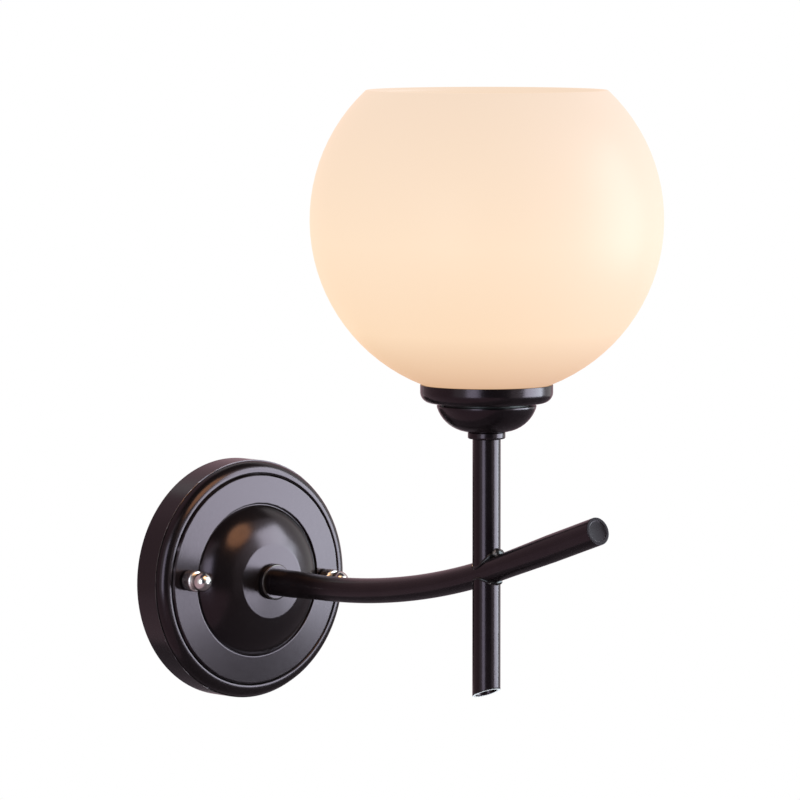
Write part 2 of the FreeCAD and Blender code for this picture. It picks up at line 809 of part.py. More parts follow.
def bulb_envelope():
    """Thin glass envelope: neck, flare and ball."""
    neck_outer = bulb_cap_radius - bulb_cap_wall - thread_play
    ball_centre = (0, bulb_bottom + bulb_length - bulb_radius)
    neck_top = bulb_cap_top + bulb_neck_length
    neck_low = bulb_cap_top - bulb_neck_hold
    between = (bulb_ball_start + quarter) / 2
    outer_join = circle_point(ball_centre, bulb_radius, bulb_ball_start)
    inner_join = circle_point(ball_centre, bulb_radius - bulb_glass, bulb_ball_start)
    flare = ((neck_outer + outer_join[0]) / 2 - bulb_flare, (neck_top + outer_join[1]) / 2 + bulb_flare)
    outline = section(on_stem, (neck_outer, neck_low), [
        ((neck_outer, neck_top),),
        (flare, outer_join),
        (circle_point(ball_centre, bulb_radius, between), (0, ball_centre[1] + bulb_radius)),
        ((0, ball_centre[1] + bulb_radius - bulb_glass),),
        (circle_point(ball_centre, bulb_radius - bulb_glass, between), inner_join),
        ((flare[0] - bulb_glass, flare[1] + bulb_glass / 2), (neck_outer - bulb_glass, neck_top)),
        ((neck_outer - bulb_glass, neck_low),),
    ])
    return turned_on_stem(outline)


# Terminal block and leads

def pole_x(index):
    """Place of a pole of the terminal block along X."""
    return (index - (pole_count - 1) / 2) * pole_pitch


def terminal_block():
    """Moulded block with a bore for each pole and a well over each of its two screws."""
    body = Part.makeBox(block_width, block_depth, block_height,
                        Vector(-block_width / 2, -block_front, -block_height / 2))
    uprights = [edge for edge in body.Edges
                if abs(edge.CenterOfMass.y + block_front) < seat_gap and edge.Length > block_depth]
    body = body.makeFillet(block_corner, uprights)
    half = block_height / 2
    for index in range(pole_count):
        x = pole_x(index)
        body = body.cut(rod(pole_tube_radius, Vector(x, -pole_depth, -half), Vector(x, -pole_depth, half)))
        for side in (-1, 1):
            z = side * (pole_tube_length / 2 - block_screw_inset)
            body = body.cut(rod(block_screw_radius + moving_gap, Vector(x, -pole_depth, z),
                                Vector(x, -block_front, z)))
    fixing = Vector(-pole_pitch / 2, 0, 0)
    return body.cut(rod(block_fixing_radius + thread_play, fixing, fixing + WALL_AXIS * block_front))


def pole_tube(index):
    """Metal tube of one pole, tapped for two screws."""
    x = pole_x(index)
    half = pole_tube_length / 2
    tube = pipe(pole_tube_radius, pole_bore_radius, Vector(x, -pole_depth, -half),
                Vector(x, -pole_depth, half))
    for side in (-1, 1):
        z = side * (half - block_screw_inset)
        tube = tube.cut(rod(block_screw_radius, Vector(x, -pole_depth, z), Vector(x, -block_front, z)))
    return tube


def pole_screws():
    """Two clamping screws in each pole, sunk in their wells."""
    screws = []
    for index in range(pole_count):
        for side in (-1, 1):
            z = side * (pole_tube_length / 2 - block_screw_inset)
            x = pole_x(index)
            screws.append(rod(block_screw_radius, Vector(x, -pole_depth - lead_radius - seat_gap, z),
                              Vector(x, -block_front + block_screw_radius, z)))
    return Part.makeCompound(screws)


def block_fixing_screw():
    """Screw that holds the terminal block on the strap."""
    place = Vector(-pole_pitch / 2, 0, 0)
    shank = rod(block_fixing_radius, place, place + WALL_AXIS * block_front)
    head = rod(2 * block_fixing_radius, place + WALL_AXIS * block_front,
               place + WALL_AXIS * (block_front + block_fixing_radius))
    return shank.fuse(head).removeSplitter()


def earth_screw():
    """Screw in the strap's ear that holds the earth tag."""
    place = Vector(ear_offset, 0, ear_hole)
    head_back = strap_thickness + tag_thickness
    shank = rod(earth_screw_radius, place, place + WALL_AXIS * head_back)
    head = rod(earth_head_radius, place + WALL_AXIS * head_back,
               place + WALL_AXIS * (head_back + earth_head_height))
    rim = [edge for edge in head.Edges
           if len(edge.Vertexes) == 1 and edge.CenterOfMass.y < -head_back - earth_head_height / 2]
    head = head.makeFillet(earth_head_height / 2, rim)
    return shank.fuse(head).removeSplitter()


def earth_tag():
    """Ring tag with a barrel that is crimped on the earth lead."""
    place = Vector(ear_offset, -strap_thickness, ear_hole)
    plate = rod(tag_radius, place, place + WALL_AXIS * tag_thickness)
    barrel_top = place + Vector(0, -tag_barrel_radius, -tag_radius)
    neck = Part.makeBox(2 * tag_barrel_radius, tag_thickness, tag_radius,
                        place + Vector(-tag_barrel_radius, -tag_thickness, -tag_radius))
    barrel = pipe(tag_barrel_radius, lead_radius, barrel_top, barrel_top - UP * tag_barrel_length)
    tag = plate.fuse(neck).fuse(barrel).removeSplitter()
    return tag.cut(rod(earth_screw_radius + thread_play, place, place + WALL_AXIS * tag_thickness))


def lead_path(points):
    """Straight runs joined by tangent arcs, each as large as its two runs allow."""
    edges = []
    radii = []
    here = points[0]
    for before, corner, after in zip(points, points[1:], points[2:]):
        arriving = (corner - before).normalize()
        leaving = (after - corner).normalize()
        half_turn = arriving.getAngle(leaving) / 2
        setback = lead_bend_share * min((corner - before).Length, (after - corner).Length)
        radius = setback / math.tan(half_turn)
        radii.append(radius)
        start = corner - arriving * setback
        end = corner + leaving * setback
        inward = (leaving - arriving).normalize()
        middle = corner + inward * (radius / math.cos(half_turn) - radius)
        edges.append(Part.LineSegment(here, start).toShape())
        edges.append(Part.Arc(start, middle, end).toShape())
        here = end
    edges.append(Part.LineSegment(here, points[-1]).toShape())
    return Part.Wire(edges), radii


def lead(name, points):
    """Insulated lead along a path; its volume is compared with section times length."""
    path, radii = lead_path(points)
    first = (points[1] - points[0]).normalize()
    ring = Part.Wire(Part.Circle(points[0], first, lead_radius).toShape())
    solid = path.makePipeShell([ring], True, True)
    ideal = math.pi * lead_radius ** 2 * path.Length
    print(name, "length %.1f" % path.Length, "volume ratio %.4f" % (solid.Volume / ideal),
          "radii", [round(radius, 1) for radius in radii])
    return solid


def lamp_lead_points(side):
    """Route of a lamp lead: terminal block, nipple, arm, stem, lampholder terminal."""
    x = side * lead_spacing / 2
    pole = side * pole_pitch
    loop_depth = nipple_back - lead_slack
    loop_bottom = -block_height / 2 - lead_loop
    in_stem = -reach - lead_radius
    points = [
        Vector(pole, -pole_depth, -block_height / 2 + lead_hold),
        Vector(pole, -pole_depth, loop_bottom),
        Vector(pole, -loop_depth, loop_bottom),
        Vector(x, -loop_depth, 0),
    ]
    for share in lead_bend_stops:
        point, along = arm_point(share * crossing_angle)
        points.append(Vector(x, point.y, point.z))
    points += [
        Vector(x, in_stem, crossing_height - lead_radius),
        Vector(x, in_stem, stem_top - nipple_hold),
        Vector(x, -reach, cup_floor + holder_boss_height - lead_radius),
        Vector(side * (terminal_offset - terminal_radius - lead_radius), -reach,
               insert_seat - insert_depth - terminal_height / 2),
    ]
    return points


def earth_lead_points():
    """Route of the earth lead: middle pole, a loop below the block, the tag's barrel."""
    barrel_bottom = ear_hole - tag_radius - tag_barrel_length
    barrel_depth = strap_thickness + tag_barrel_radius
    loop_bottom = barrel_bottom - earth_loop
    return [
        Vector(0, -pole_depth, -block_height / 2 + lead_hold),
        Vector(0, -pole_depth, loop_bottom),
        Vector(ear_offset, -barrel_depth, loop_bottom),
        Vector(ear_offset, -barrel_depth, barrel_bottom + tag_barrel_length / 2),
    ]


def build():
    """Make every piece and write it."""
    os.makedirs("parts", exist_ok=True)
    arm_bar = arm_body(0)
    arm_core = arm_body(tube_wall)

    save("wall_strap", strap())
    save("canopy_studs", Part.makeCompound([stud(-1), stud(1)]))
    save("stud_locknuts", Part.makeCompound([stud_nut(-1), stud_nut(1)]))
    save("canopy", canopy())
    save("cap_nut_left", cap_nut(-1))
    save("cap_nut_right", cap_nut(1))
    save("canopy_nipple", canopy_nipple())
    save("canopy_locknut", locknut())
    save("lock_washer", lock_washer())
    save("arm_collar", collar(WALL_AXIS * canopy_depth, WALL_AXIS))

    save("arm_tube", arm_tube(arm_bar, arm_core))
    save("arm_end_plate", arm_end_plate())
    save("stem_tube", stem_tube(arm_bar))
    save("tail_tube", tail_tube(arm_bar))
    save("stem_weld", weld_bead(arm_bar, stem_bar(), UP, stem_weld))
    save("tail_weld", weld_bead(arm_bar, tail_bar(), -UP, tail_weld))

    save("stem_collar", collar(Vector(0, -reach, stem_top), UP))
    save("cup_nipple", cup_nipple())
    save("cup_bowl", bowl())
    save("gallery_dish", dish())
    save("lampholder_base", holder_base())
    save("lampholder_skirt", holder_skirt())
    save("lampholder_insert", holder_insert())
    save("screw_shell", screw_shell())
    save("centre_contact", centre_contact())
    save("lampholder_terminals", Part.makeCompound([holder_terminal(-1), holder_terminal(1)]))
    save("shade_ring", shade_ring())
    save("globe_glass", globe())

    save("bulb_cap", bulb_cap())
    save("bulb_insulator", bulb_insulator())
    save("bulb_contact", bulb_contact())
    save("bulb_envelope", bulb_envelope())

    save("terminal_block", terminal_block())
    save("terminal_tubes", Part.makeCompound([pole_tube(index) for index in range(pole_count)]))
    save("terminal_screws", pole_screws())
    save("block_fixing_screw", block_fixing_screw())
    save("earth_screw", earth_screw())
    save("earth_tag", earth_tag())
    save("live_lead", lead("live_lead", lamp_lead_points(1)))
    save("neutral_lead", lead("neutral_lead", lamp_lead_points(-1)))
    save("earth_lead", lead("earth_lead", earth_lead_points()))


build()
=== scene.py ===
import math

import bpy
from mathutils import Matrix, Vector


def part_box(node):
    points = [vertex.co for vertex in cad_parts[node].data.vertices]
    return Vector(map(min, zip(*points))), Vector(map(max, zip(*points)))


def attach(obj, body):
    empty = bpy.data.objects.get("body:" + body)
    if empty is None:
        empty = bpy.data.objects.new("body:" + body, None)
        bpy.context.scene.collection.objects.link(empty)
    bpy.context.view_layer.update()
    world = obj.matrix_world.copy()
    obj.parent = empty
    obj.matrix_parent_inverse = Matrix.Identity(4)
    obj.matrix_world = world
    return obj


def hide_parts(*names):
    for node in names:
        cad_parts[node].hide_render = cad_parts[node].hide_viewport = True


# Globe wall sconce. Shapes are drawn in millimetres and stand in the frame's metres. The wall is
# y = 0, the lamp reaches along -Y and +Z is up.

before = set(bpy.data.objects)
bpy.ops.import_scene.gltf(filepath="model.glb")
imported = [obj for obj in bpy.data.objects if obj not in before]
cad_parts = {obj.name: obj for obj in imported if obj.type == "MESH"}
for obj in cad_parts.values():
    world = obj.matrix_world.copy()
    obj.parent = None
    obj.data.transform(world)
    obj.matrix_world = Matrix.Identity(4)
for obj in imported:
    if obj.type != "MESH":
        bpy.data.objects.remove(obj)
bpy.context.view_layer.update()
mm = 0.001

# Sizes from the frame
collar_low, collar_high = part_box("stem_collar")
reach = -(collar_low.y + collar_high.y) / 2 / mm
stem_top = collar_low.z / mm
bowl_bottom = collar_high.z / mm
bowl_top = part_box("cup_bowl")[1].z / mm
dish_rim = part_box("gallery_dish")[1].z / mm
bowl_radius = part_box("cup_bowl")[1].x / mm
dish_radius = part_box("gallery_dish")[1].x / mm
canopy_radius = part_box("canopy")[1].x / mm
canopy_depth = -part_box("canopy")[0].y / mm
collar_front = -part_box("arm_collar")[0].y / mm
collar_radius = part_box("arm_collar")[1].x / mm
globe_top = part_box("globe_glass")[1].z / mm
globe_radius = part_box("globe_glass")[1].x / mm
cap_nut_seat = -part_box("cap_nut_left")[1].y / mm

# Canopy, spun sheet
sheet = 1.0
skirt_depth = 13.0
shoulder_ledge = 0.5
shoulder_radius = 4.6
lip_radius = 1.0
ring_inset = 6.8
ring_width = 12.0
ring_outer_depth = 18.1
ring_inner_depth = 19.0
groove_depth = 17.8
groove_wall = 1.1
boss_fall = 0.45
dome_foot_tilt = 58.0
flank_radius = 18.0
dome_waist_tilt = 34.0
crown_radius = 30.0
dome_top_tilt = 12.0
boss_flat_radius = 16.6
boss_edge = 0.35
canopy_edge = 0.15
# Width of the painted highlight along the skirt's front edge
skirt_highlight_width = 0.22

# Tubes, welds and collars
tube_radius = 6.0
tube_wall = 1.5
tail_bottom = -36.0
tail_mitre = 22.0
arm_round_length = 11.5
arm_straight = 63.0
arm_bend_radius = 402.0
arm_bend = 18.0
arm_bend_width = 12.9
arm_bend_height = 10.9
arm_rounding_length = 30.0
arm_round_end = 30.5
end_recess = 0.3
arm_edge = 0.25
stem_edge = 0.3
tail_edge = 0.18
tube_sharp = 50
collar_edge = 0.7
# Lighter metallic band round the collar's front rim
collar_rim_inset = 0.3
collar_rim_depth = 0.2
collar_rim_width = 0.6
nipple_radius = 5.0

# Weld beads. A bead is thickest a lean away from straight ahead, in radians, and two ripples of a
# height and a count go round it.
weld_lean = 0.35
weld_narrowing = 3
weld_fine_ripple, weld_fine_count = 0.1, 11
weld_coarse_ripple, weld_coarse_count, weld_coarse_start = 0.14, 5, 1.3
weld_least_ripple = 0.15
weld_rise = 0.2
weld_lift = 0.9
weld_tallness = 1.1
weld_above_thick, weld_above_thin = 2.1, 0.55
weld_below_thick, weld_below_thin = 1.1, 0.5

# Least cosines between a face and the tip's direction, for the plate's finish, and between a face
# and straight down, for the tail's cut
plate_facing = 0.99
cut_facing = 0.85

# Nuts and studs
stud_inset = 14.0
stud_turn = 3.5
stud_radius = 2.0
cap_nut_radius = 4.7
cap_nut_barrel = 6.0
cap_nut_neck_radius = 3.7
cap_nut_neck = 1.0
cap_nut_ball_radius = 4.3
cap_nut_chamfer = 0.6
knurl_teeth = 34
knurl_depth = 0.35
knurl_edge = 0.06
knurl_skin = 0.1
knurl_groove_start, knurl_groove_end = 0.4, 0.6
knurl_sharp = 25

# Leads
lead_radius = 0.9
lead_spacing = 2.2
pole_pitch = 10.0
pole_depth = 7.5
lead_start = -4.5
loop_bottom = -20.0
loop_depth = 20.2
lead_bend_stops = (0.2, 0.45, 0.72)
cup_turn_height = 62.6
cup_exit_height = 80.7
terminal_side = 6.2
terminal_height = 87.75
lamp_lead_length = 266.7
earth_loop_bottom = -36.3
earth_tag_side = 14.0
earth_tag_depth = 3.5
earth_tag_height = -23.3
earth_lead_length = 54.0

# Cup and globe
bowl_curve_centre = 6.8
bowl_curve_rise = 14.9
bowl_curve_radius = 15.0
bowl_foot_tilt = 79.5
bowl_rim_tilt = 18.5
bowl_foot_ease = 0.6
bowl_edge = 0.12
cup_step = 87.9
dish_curve = 4.6
dish_hole_radius = 18.4
dish_edge = 0.2
glass = 3.0
mouth_radius = 52.0
neck_hole_radius = 21.0

# Values that follow
ring_outer_radius = canopy_radius - ring_inset
ring_inner_radius = ring_outer_radius - ring_width
stud_circle_radius = canopy_radius - stud_inset
crossing_angle = math.asin((reach - arm_straight) / arm_bend_radius)
crossing_height = arm_bend_radius * (1 - math.cos(crossing_angle))
globe_height = dish_rim + math.sqrt(globe_radius ** 2 - (dish_radius - sheet) ** 2)

# Fineness
arc_degrees = 7.5
collar_arc_degrees = 15
globe_arc_degrees = 4
arc_least_steps = 3
usual_sharp = 35
hold = 0.45
merge_gap = 0.002 * mm
around_large = 160
around_small = 64
bend_steps = 36
straight_steps = 2
taper_steps = 6
weld_around = 180
weld_section = 14
lead_steps = 16
lead_roundness = 4

# Camera and room. The camera's reach and the floor's size and middle are metres.
photo_width = 800
focal_pixels = 6270.16
sensor_width = 36.0
camera_turn = 40.109
camera_tilt = 4.359
camera_right = 75.3635
camera_up = 78.6522
camera_back = 2798.0236
camera_reach = 20
room_light = 0.4
floor_height = -300
floor_size = 1.6
floor_middle = -0.1


# Drawing

def named(name):
    """The primitive that was just added, under its own name."""
    piece = bpy.context.active_object
    piece.name = name
    piece.data.name = name
    return piece


def into_edit():
    """Starts editing the active piece's mesh."""
    bpy.ops.object.mode_set(mode="EDIT")


def out_of_edit():
    """Ends editing."""
    bpy.ops.object.mode_set(mode="OBJECT")


def alone(piece):
    """Makes a piece the only one selected, and active."""
    bpy.ops.object.select_all(action="DESELECT")
    piece.select_set(True)
    bpy.context.view_layer.objects.active = piece


def apply_modifier(piece, kind, **settings):
    """Adds a modifier, sets it and applies it."""
    alone(piece)
    modifier = piece.modifiers.new(kind, kind)
    for setting, value in settings.items():
        setattr(modifier, setting, value)
    bpy.ops.object.modifier_apply(modifier=modifier.name)


def select_points(piece, wanted):
    """Selects the vertices in edit mode whose place passes a test."""
    out_of_edit()
    for vertex in piece.data.vertices:
        vertex.select = bool(wanted(vertex.co))
    for edge in piece.data.edges:
        edge.select = all(piece.data.vertices[index].select for index in edge.vertices)
    for face in piece.data.polygons:
        face.select = all(piece.data.vertices[index].select for index in face.vertices)
    into_edit()


def turned_point(centre, point, degrees):
    """A point of a section, carried round a centre."""
    angle = math.radians(degrees)
    along, up = point[0] - centre[0], point[1] - centre[1]
    return (centre[0] + along * math.cos(angle) - up * math.sin(angle),
            centre[1] + along * math.sin(angle) + up * math.cos(angle))


def held_line(start, end):
    """Points of a straight run, with one just inside each end that keeps the run's shading flat."""
    length = math.dist(start, end)
    if length < 4 * hold:
        return [end]
    share = hold / length
    holding = [tuple(a + (b - a) * part for a, b in zip(start, end))
               for part in (share, 1 - share)]
    return holding + [end]


def draw_section(name, start, steps, fine=arc_degrees):
    """Chain of edges from a start, X away from the axis and Z along it. A step is a point to go
    to, or a centre and the degrees to go round it."""
    bpy.ops.object.select_all(action="DESELECT")
    bpy.ops.mesh.primitive_plane_add(size=mm)
    piece = named(name)
    into_edit()
    bpy.ops.mesh.select_all(action="SELECT")
    bpy.ops.mesh.merge(type="CENTER")
    bpy.ops.transform.translate(value=(start[0] * mm, 0, start[1] * mm))
    here = start
    for step in steps:
        if len(step) == 2:
            for stop in held_line(here, step):
                move = ((stop[0] - here[0]) * mm, 0, (stop[1] - here[1]) * mm)
                bpy.ops.mesh.extrude_vertices_move(TRANSFORM_OT_translate={"value": move})
                here = stop
        else:
            bpy.ops.mesh.spin(steps=max(arc_least_steps, math.ceil(abs(step[2]) / fine)),
                              angle=math.radians(step[2]),
                              center=(step[0] * mm, 0, step[1] * mm), axis=(0, 1, 0))
            here = turned_point(step[:2], here, step[2])
    return piece


def ease(piece, edge, segments=2, sharp=usual_sharp):
    """Rounds the sharp edges of a piece and shades its curves smooth."""
    if edge:
        apply_modifier(piece, "BEVEL", width=edge * mm, segments=segments,
                       limit_method="ANGLE", angle_limit=math.radians(sharp))
    alone(piece)
    bpy.ops.object.shade_smooth_by_angle(angle=math.radians(sharp))


def settle(piece, axis, edge, smooth=usual_sharp):
    """Eases a turned piece and stands it on the canopy's axis, the stem's or a stud's place."""
    ease(piece, edge, sharp=smooth)
    if axis == "canopy":
        piece.rotation_euler = (math.radians(90), 0, 0)
    elif axis == "stem":
        piece.location = (0, -reach * mm, 0)
    else:
        piece.rotation_euler = (math.radians(90), 0, 0)
        piece.location = axis
    bpy.ops.object.transform_apply(location=True, rotation=True, scale=True)
    return piece


def close_up():
    """Merges what lies together and turns the faces outward, in edit mode."""
    bpy.ops.mesh.select_all(action="SELECT")
    bpy.ops.mesh.remove_doubles(threshold=merge_gap)
    bpy.ops.mesh.normals_make_consistent(inside=False)


def spin_round(steps):
    """Spins the section in edit mode once round its axis."""
    bpy.ops.mesh.select_all(action="SELECT")
    bpy.ops.mesh.spin(steps=steps, angle=math.tau, center=(0, 0, 0), axis=(0, 0, 1))
    close_up()


def turned(name, start, steps, axis, edge, wall=0, around=around_large, fine=arc_degrees):
    """Section spun once round its axis, with a wall if it is a sheet."""
    piece = draw_section(name, start, steps, fine)
    spin_round(around)
    out_of_edit()
    if wall:
        apply_modifier(piece, "SOLIDIFY", thickness=wall * mm, offset=-1)
    return settle(piece, axis, edge)


def below_arc(point, tilt, radius):
    """Centre of the arc that passes a point of a section at a tilt from the front."""
    angle = math.radians(tilt)
    return (point[0] - radius * math.sin(angle), point[1] - radius * math.cos(angle))


def stud_place(side, depth):
    """Point on the axis of a stud, in metres; the pair stands a little off level."""
    angle = math.radians(stud_turn)
    return Vector((side * stud_circle_radius * math.cos(angle), -depth,
                   -side * stud_circle_radius * math.sin(angle))) * mm


# Canopy

def make_canopy():
    """Spun bell: skirt, ledge, rounded shoulder with a lip, flat ring, groove, dome and boss."""
    shoulder_centre = (canopy_radius - shoulder_ledge - shoulder_radius, skirt_depth)
    lip_centre = (shoulder_centre[0], skirt_depth + shoulder_radius - lip_radius)
    dome_top = (boss_flat_radius + boss_edge, canopy_depth - boss_fall - boss_edge / 3)
    crown_centre = below_arc(dome_top, dome_top_tilt, crown_radius)
    waist = turned_point(crown_centre, dome_top, dome_top_tilt - dome_waist_tilt)
    flank_centre = below_arc(waist, dome_waist_tilt, flank_radius)
    foot = turned_point(flank_centre, waist, dome_waist_tilt - dome_foot_tilt)
    steep = (foot[1] - groove_depth) / math.tan(math.radians(dome_foot_tilt))
    groove_inner = (foot[0] + steep, groove_depth)
    groove_outer = (ring_inner_radius - groove_wall, groove_depth)
    groove_roll = (ring_inner_radius - groove_wall / 3, ring_inner_depth - groove_wall / 2)
    return turned("canopy_shell", (canopy_radius, 0), [
        (canopy_radius, skirt_depth),
        (canopy_radius - shoulder_ledge, skirt_depth),
        (*shoulder_centre, 90),
        (*lip_centre, 90),
        (ring_outer_radius, ring_outer_depth),
        (ring_inner_radius, ring_inner_depth),
        groove_roll,
        groove_outer,
        groove_inner,
        foot,
        (*flank_centre, dome_foot_tilt - dome_waist_tilt),
        (*crown_centre, dome_waist_tilt - dome_top_tilt),
        (boss_flat_radius, canopy_depth - boss_fall),
        (collar_radius, canopy_depth),
        (nipple_radius, canopy_depth),
    ], "canopy", wall=sheet, edge=canopy_edge)


def make_cap_nut(name, side):
    """Round nut with a knurled barrel, a neck and a ball end."""
    shoulder = cap_nut_barrel
    neck = shoulder + cap_nut_neck
    ball = neck + math.sqrt(cap_nut_ball_radius ** 2 - cap_nut_neck_radius ** 2)
    start_angle = math.degrees(math.asin(cap_nut_neck_radius / cap_nut_ball_radius))
    piece = draw_section(name, (stud_radius, 0), [
        (cap_nut_radius - cap_nut_chamfer, 0),
        (cap_nut_radius, cap_nut_chamfer),
        (cap_nut_radius, shoulder - cap_nut_chamfer),
        (cap_nut_radius - cap_nut_chamfer, shoulder),
        (cap_nut_neck_radius, shoulder),
        (cap_nut_neck_radius, neck),
        (0, ball, 180 - start_angle),
    ])
    spin_round(4 * knurl_teeth)

    def in_groove(point):
        """Whether a point lies on the barrel's skin and in a groove of its knurl."""
        tooth = math.atan2(point.y, point.x) / math.tau * knurl_teeth % 1
        on_barrel = math.hypot(point.x, point.y) > (cap_nut_radius - knurl_skin) * mm
        return on_barrel and knurl_groove_start < tooth < knurl_groove_end

    select_points(piece, in_groove)
    shrink = 1 - knurl_depth / cap_nut_radius
    bpy.ops.transform.resize(value=(shrink, shrink, 1), center_override=(0, 0, 0))
    out_of_edit()
    return settle(piece, stud_place(side, cap_nut_seat), edge=knurl_edge, smooth=knurl_sharp)


# Arm, stem and tail

def arm_point(angle):
    """Point of the arm's centre line in its bend, and the direction along it."""
    point = Vector((0, -arm_straight - arm_bend_radius * math.sin(angle),
                    arm_bend_radius * (1 - math.cos(angle))))
    return point * mm, Vector((0, -math.cos(angle), math.sin(angle)))


def extend_tube(centre, along, length, width, height, steps):
    """Extrudes the selected ring forward and brings its width and height evenly to new sizes."""
    scale_width = width ** (1 / steps)
    scale_height = height ** (1 / steps)
    for _ in range(steps):
        move = along * (length * mm / steps)
        bpy.ops.mesh.extrude_edges_move(TRANSFORM_OT_translate={"value": move})
        centre = centre + move
        bpy.ops.transform.resize(value=(scale_width, 1, scale_height), center_override=centre)
    return centre


def make_arm():
    """Bent tube: round at both ends, a little flattened in its bend, closed at the tip."""
    bpy.ops.object.select_all(action="DESELECT")
    start = Vector((0, -collar_front * mm, 0))
    bpy.ops.mesh.primitive_circle_add(vertices=around_small, radius=tube_radius * mm,
                                      location=start, rotation=(math.radians(90), 0, 0))
    arm = named("arm")
    bpy.ops.object.transform_apply(location=True, rotation=True, scale=True)
    into_edit()
    bpy.ops.mesh.select_all(action="SELECT")
    out = Vector((0, -1, 0))
    wide = arm_bend_width / 2 / tube_radius
    flat = arm_bend_height / 2 / tube_radius
    centre = extend_tube(start, out, arm_round_length, 1, 1, straight_steps)
    flatten = arm_straight - collar_front - arm_round_length
    extend_tube(centre, out, flatten, wide, flat, taper_steps)
    bpy.ops.mesh.spin(steps=bend_steps, angle=math.radians(arm_bend),
                      center=(0, -arm_straight * mm, arm_bend_radius * mm), axis=(1, 0, 0))
    end, along = arm_point(math.radians(arm_bend))
    centre = extend_tube(end, along, arm_rounding_length, 1 / wide, 1 / flat, taper_steps)
    tip = centre + along * arm_round_end * mm
    extend_tube(centre, along, arm_round_end + tube_radius, 1, 1, straight_steps)
    for behind in (hold, 0):
        place = tip - along * behind * mm
        bpy.ops.mesh.select_all(action="SELECT")
        bpy.ops.mesh.bisect(plane_co=place, plane_no=along, clear_outer=behind == 0)
    select_points(arm, lambda point: abs((point - place).dot(along)) < merge_gap)
    bpy.ops.mesh.edge_face_add()
    bpy.ops.mesh.inset(thickness=tube_wall * mm)
    inward = -along * end_recess * mm
    bpy.ops.mesh.extrude_region_move(TRANSFORM_OT_translate={"value": inward})
    close_up()
    out_of_edit()
    ease(arm, arm_edge, segments=3, sharp=tube_sharp)
    return arm


def make_stem():
    """Upright tube from the arm's middle to its collar."""
    return turned("stem", (nipple_radius, crossing_height), [
        (tube_radius, crossing_height),
        (tube_radius, stem_top),
        (nipple_radius, stem_top),
    ], "stem", edge=stem_edge, around=around_small)


def make_tail():
    """Tube that hangs under the arm, cut off askew and open."""
    low = tail_bottom - 2 * tube_radius
    inside = tube_radius - tube_wall
    tail = turned("tail", (inside, low), [
        (inside, crossing_height),
        (tube_radius, crossing_height),
        (tube_radius, low),
    ], "stem", edge=0, around=around_small)
    into_edit()
    slant = math.radians(tail_mitre)
    cut = Vector((0, math.sin(slant), math.cos(slant)))
    for above in (hold, 0):
        place = Vector((0, -reach, tail_bottom + above / math.cos(slant))) * mm
        bpy.ops.mesh.select_all(action="SELECT")
        bpy.ops.mesh.bisect(plane_co=place, plane_no=cut, clear_inner=above == 0)
    select_points(tail, lambda point: abs((point - place).dot(cut)) < merge_gap)
    bpy.ops.mesh.select_mode(type="EDGE")
    bpy.ops.mesh.bridge_edge_loops()
    bpy.ops.mesh.select_all(action="SELECT")
    bpy.ops.mesh.normals_make_consistent(inside=False)
    bpy.ops.mesh.select_mode(type="VERT")
    out_of_edit()
    ease(tail, tail_edge, sharp=tube_sharp)
    return tail


def make_collar(name, axis, start):
    """Turned ring with eased edges."""
    thickness = collar_front - canopy_depth
    inner = nipple_radius
    outer = collar_radius
    return turned(name, (inner, start), [
        (outer - collar_edge, start),
        (outer - collar_edge, start + collar_edge, 90),
        (outer, start + thickness - collar_edge),
        (outer - collar_edge, start + thickness - collar_edge, 90),
        (inner, start + thickness),
        (inner, start),
    ], axis, edge=0, around=around_small, fine=collar_arc_degrees)


def make_weld(name, side, thick, thin, raised=0.0):
    """Bead of weld metal on the saddle between arm and tube, thin behind and thick in front."""
    bpy.ops.object.select_all(action="DESELECT")
    bpy.ops.mesh.primitive_torus_add(major_segments=weld_around,
                                     minor_segments=weld_section,
                                     major_radius=tube_radius * mm, minor_radius=mm,
                                     location=(0, 0, 0))
    bead = named(name)
    half_width = arm_bend_width / 2
    half_height = arm_bend_height / 2
    slope = math.tan(crossing_angle)
    for vertex in bead.data.vertices:
        point = vertex.co
        angle = math.atan2(point.y, point.x)
        front = (0.5 - 0.5 * math.sin(angle - weld_lean)) ** weld_narrowing
        ripple = (weld_fine_ripple * math.sin(weld_fine_count * angle)
                  + weld_coarse_ripple * math.sin(weld_coarse_count * angle + weld_coarse_start))
        size = thin + (thick - thin) * front + ripple * (weld_least_ripple + front)
        away = math.hypot(point.x, point.y) - tube_radius * mm
        radius = tube_radius * mm + away * size
        across = math.cos(angle) * tube_radius
        saddle = half_height * math.sqrt(max(0, 1 - (across / half_width) ** 2))
        height = crossing_height + side * saddle - slope * math.sin(angle) * tube_radius
        lift = side * (weld_rise * size + front * raised)
        point.z = point.z * size * weld_tallness + (height + lift) * mm
        point.x = radius * math.cos(angle)
        point.y = radius * math.sin(angle) - reach * mm
    alone(bead)
    bpy.ops.object.shade_smooth()
    return bead


# Cup and globe

def make_bowl():
    """Spun bowl under the dish: flat foot, one round flank and a short steep rim."""
    centre = (bowl_curve_centre, bowl_bottom + bowl_curve_rise)
    foot = (centre[0] + bowl_curve_radius * math.cos(math.radians(bowl_foot_tilt)),
            centre[1] - bowl_curve_radius * math.sin(math.radians(bowl_foot_tilt)))
    return turned("bowl", (nipple_radius, bowl_bottom), [
        (foot[0] - bowl_foot_ease, bowl_bottom),
        foot,
        (*centre, bowl_foot_tilt - bowl_rim_tilt),
        (bowl_radius, bowl_top),
    ], "stem", wall=sheet, edge=bowl_edge)


def make_dish():
    """Spun dish that the globe rests in."""
    flat_radius = dish_radius - dish_curve
    return turned("dish", (dish_hole_radius, cup_step), [
        (flat_radius, cup_step),
        (flat_radius, cup_step + dish_curve, 90),
        (dish_radius, dish_rim),
    ], "stem", wall=sheet, edge=dish_edge)


